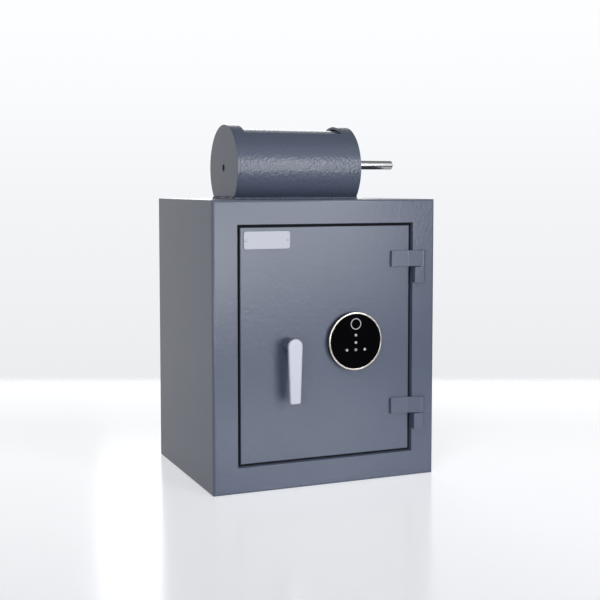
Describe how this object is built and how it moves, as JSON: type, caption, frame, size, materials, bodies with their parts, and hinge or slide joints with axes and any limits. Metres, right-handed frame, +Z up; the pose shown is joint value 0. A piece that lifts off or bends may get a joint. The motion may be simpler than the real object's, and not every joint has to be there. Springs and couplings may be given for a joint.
{
  "type": "drop safe",
  "caption": "Small sheet-steel drop safe: rotary deposit drum with a grip rod on the roof, hinged front door with a round electronic lock, lever handle and sliding bolts.",
  "frame": {"origin": "middle of the base's underside, which rests on the floor or counter", "axes": "+Z up, +X to the right seen from the door, +Y to the back"},
  "size_m": [0.336, 0.2883, 0.509],
  "materials": {
    "paint": "blue-grey textured powder coat, semi-gloss",
    "drum_paint": "blue-grey powder coat, semi-gloss",
    "steel": "polished stainless steel",
    "zinc": "zinc plated steel",
    "handle": "satin nickel plate",
    "lock_rim": "polished champagne ring",
    "black_glass": "black glossy touch panel",
    "black_plastic": "moulded black plastic",
    "red_plastic": "moulded red plastic",
    "plate": "satin aluminium plate, bare",
    "nylon": "natural nylon",
    "mat": "needle-felt carpet",
    "board": "green circuit board",
    "battery": "dark wrapped block battery"
  },
  "bodies": {
    "root": {"front_frame": "paint", "stop_ring": "paint", "side_panel_left": "paint", "side_panel_right": "paint", "bottom_plate": "paint", "back_plate": "paint", "top_plate": "paint", "anchor_plug_left": "black_plastic", "anchor_plug_right": "black_plastic", "floor_mat": "mat", "hinge_block_upper": "paint", "hinge_block_lower": "paint", "hinge_pin_upper": "steel", "hinge_pin_lower": "steel", "drum_housing": "paint", "housing_end_left": "paint", "housing_end_right": "paint", "axle_bush_left": "nylon", "axle_bush_right": "nylon"},
    "drum": {"drum_shell": "drum_paint", "drum_disc_left": "drum_paint", "drum_disc_right": "drum_paint", "drum_pivot_left": "zinc", "drum_pivot_right": "zinc", "grip_rod": "steel", "rod_collar": "zinc"},
    "door": {"door_plate": "paint", "hinge_arm_upper": "paint", "hinge_arm_lower": "paint", "lock_body": "black_plastic", "lock_rim": "lock_rim", "lock_glass": "black_glass", "bare_plate": "plate", "spindle_bush": "nylon", "bolt_guide_upper": "zinc", "bolt_guide_lower": "zinc", "bar_stud_upper": "zinc", "bar_stud_lower": "zinc", "dead_bar": "paint", "inner_cover": "paint", "cover_screw_1": "zinc", "cover_screw_2": "zinc", "cover_screw_3": "zinc", "cover_screw_4": "zinc", "battery_box": "black_plastic", "battery": "battery", "battery_lid": "black_plastic", "button_switch": "black_plastic", "solenoid": "zinc", "solenoid_plunger": "steel", "board_carrier": "nylon", "control_board": "board"},
    "handle": {"handle_lever": "handle", "handle_boss": "paint", "spindle": "steel", "spindle_cam": "zinc"},
    "bolt_work": {"bolt_bar": "zinc", "bolt_upper": "steel", "bolt_lower": "steel"},
    "code_button": {"code_button": "red_plastic"}
  },
  "joints": [
    {"name": "door_hinge", "type": "hinge", "parent": "root", "child": "door", "pos_m": [0.1457, -0.137, 0.2015], "axis": [0, 0, 1], "range_deg": [0, 120]},
    {"name": "drum_turn", "type": "hinge", "parent": "root", "child": "drum", "pos_m": [0, 0.028, 0.4455], "axis": [-1, 0, 0], "range_deg": [0, 180]},
    {"name": "handle_turn", "type": "hinge", "parent": "door", "child": "handle", "pos_m": [-0.05799, -0.132, 0.2015], "axis": [0, 1, 0], "range_deg": [0, 90]},
    {"name": "bolt_slide", "type": "slide", "parent": "door", "child": "bolt_work", "axis": [-1, 0, 0], "range_m": [0, 0.017]},
    {"name": "code_button_press", "type": "slide", "parent": "door", "child": "code_button", "axis": [0, -1, 0], "range_m": [0, 0.0015], "stiffness_N_per_m": 400}
  ],
  "couplings": [
    {"joint": "bolt_slide", "follows": "handle_turn", "m_per_rad": 0.01082}
  ]
}
